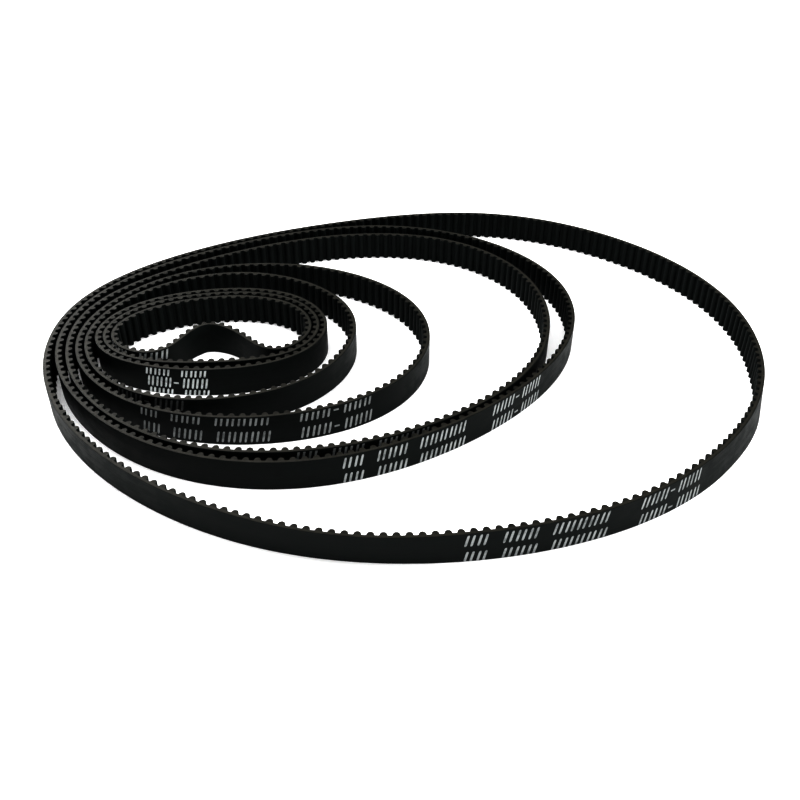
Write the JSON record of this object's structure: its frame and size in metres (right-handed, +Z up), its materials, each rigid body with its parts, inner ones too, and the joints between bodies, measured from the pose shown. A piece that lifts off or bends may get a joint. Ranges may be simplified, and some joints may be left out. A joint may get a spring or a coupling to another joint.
{
  "type": "timing belt set",
  "caption": "Nest of endless toothed rubber timing belts of stepped lengths, standing on edge inside one another, each with a smooth back, a cord layer and moulded teeth inside.",
  "frame": {"origin": "on the floor, under the middle of the largest belt's outline", "axes": "+Z up, along the belts' width; +X from the bunched side of the nest to its open side; +Y to the back"},
  "size_m": [0.1423, 0.114, 0.006],
  "materials": {
    "backing_rubber": "satin black moulded rubber with a faint mottle",
    "tooth_rubber": "matte black rubber, greyer on the cut edges",
    "cord_glass": "twisted glass-fibre cord, treated",
    "print_ink": "silver-grey ink, plain marks"
  },
  "bodies": {
    "belt_400": {"belt_400_backing": "backing_rubber", "belt_400_tension_cord": "cord_glass", "belt_400_teeth": "tooth_rubber"},
    "belt_300": {"belt_300_backing": "backing_rubber", "belt_300_tension_cord": "cord_glass", "belt_300_teeth": "tooth_rubber"},
    "belt_280": {"belt_280_backing": "backing_rubber", "belt_280_tension_cord": "cord_glass", "belt_280_teeth": "tooth_rubber"},
    "belt_200": {"belt_200_backing": "backing_rubber", "belt_200_tension_cord": "cord_glass", "belt_200_teeth": "tooth_rubber"},
    "belt_158": {"belt_158_backing": "backing_rubber", "belt_158_tension_cord": "cord_glass", "belt_158_teeth": "tooth_rubber"},
    "belt_122": {"belt_122_backing": "backing_rubber", "belt_122_tension_cord": "cord_glass", "belt_122_teeth": "tooth_rubber"},
    "belt_112": {"belt_112_backing": "backing_rubber", "belt_112_tension_cord": "cord_glass", "belt_112_teeth": "tooth_rubber"},
    "belt_110": {"belt_110_backing": "backing_rubber", "belt_110_tension_cord": "cord_glass", "belt_110_teeth": "tooth_rubber"}
  },
  "joints": [
    {"name": "lift_belt_300", "type": "slide", "parent": "belt_400", "child": "belt_300", "axis": [0, 0, 1], "range_m": [0, 0.01]},
    {"name": "lift_belt_280", "type": "slide", "parent": "belt_400", "child": "belt_280", "axis": [0, 0, 1], "range_m": [0, 0.02]},
    {"name": "lift_belt_200", "type": "slide", "parent": "belt_400", "child": "belt_200", "axis": [0, 0, 1], "range_m": [0, 0.03]},
    {"name": "lift_belt_158", "type": "slide", "parent": "belt_400", "child": "belt_158", "axis": [0, 0, 1], "range_m": [0, 0.04]},
    {"name": "lift_belt_122", "type": "slide", "parent": "belt_400", "child": "belt_122", "axis": [0, 0, 1], "range_m": [0, 0.05]},
    {"name": "lift_belt_112", "type": "slide", "parent": "belt_400", "child": "belt_112", "axis": [0, 0, 1], "range_m": [0, 0.06]},
    {"name": "lift_belt_110", "type": "slide", "parent": "belt_400", "child": "belt_110", "axis": [0, 0, 1], "range_m": [0, 0.07]}
  ]
}
